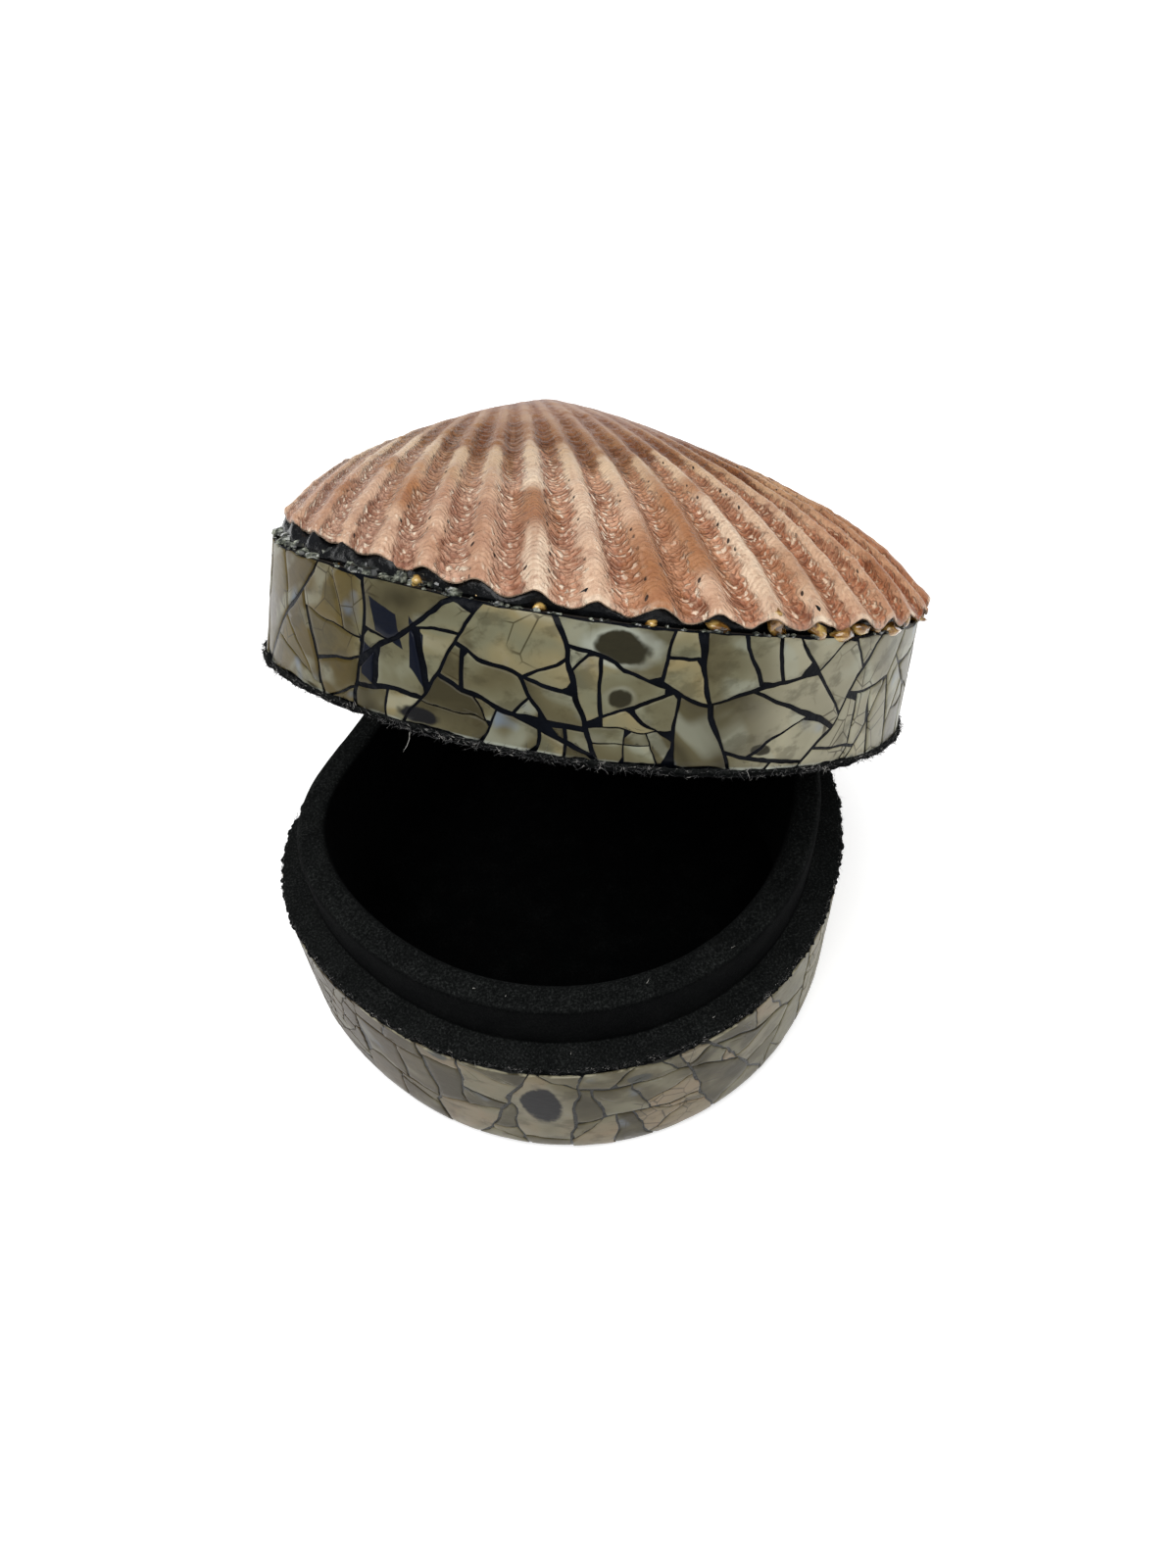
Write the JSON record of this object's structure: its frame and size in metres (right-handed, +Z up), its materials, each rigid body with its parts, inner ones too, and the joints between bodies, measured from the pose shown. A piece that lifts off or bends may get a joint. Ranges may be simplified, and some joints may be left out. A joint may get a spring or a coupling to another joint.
{
  "type": "hinged scallop shell trinket box",
  "caption": "Small fan-shaped trinket box with a nacre mosaic side, velvet lining with a raised collar, and a hinged lid that carries a scallop shell.",
  "frame": {"origin": "on the underside, at the polar centre of the fan-shaped outline", "axes": "+Z up; the rounded front of the box faces -Y, its narrow back with the shell's beak is at +Y; the hinge is at the back right"},
  "size_m": [0.085, 0.0938, 0.0751],
  "materials": {
    "case_board": "dark stained board, matt",
    "base_nacre": "broken nacre pieces in dark grout under gloss lacquer, paler and pinker than on the lid",
    "lid_nacre": "broken olive and silver nacre pieces in dark blue-black grout under gloss lacquer",
    "velvet": "black velvet, deep pile, frayed at the cut edge",
    "scallop": "natural scallop shell, dusty pink and brown with pale rib tops, thin gloss lacquer",
    "filler": "black filler with amber resin in places, glossy",
    "hinge_brass": "dull brass, satin"
  },
  "bodies": {
    "base": {"base_case": "case_board", "base_mosaic": "base_nacre", "base_lining": "velvet", "hinge_base_leaf": "hinge_brass", "hinge_pin": "hinge_brass"},
    "lid": {"lid_case": "case_board", "lid_mosaic": "lid_nacre", "lid_lining": "velvet", "scallop_shell": "scallop", "shell_filler": "filler", "hinge_lid_leaf": "hinge_brass"}
  },
  "joints": [
    {"name": "lid_hinge", "type": "hinge", "parent": "base", "child": "lid", "pos_m": [0.01186, 0.04314, 0.0229], "axis": [-0.7975, 0.5923, 0.1149], "range_deg": [-29.5, 0]}
  ]
}
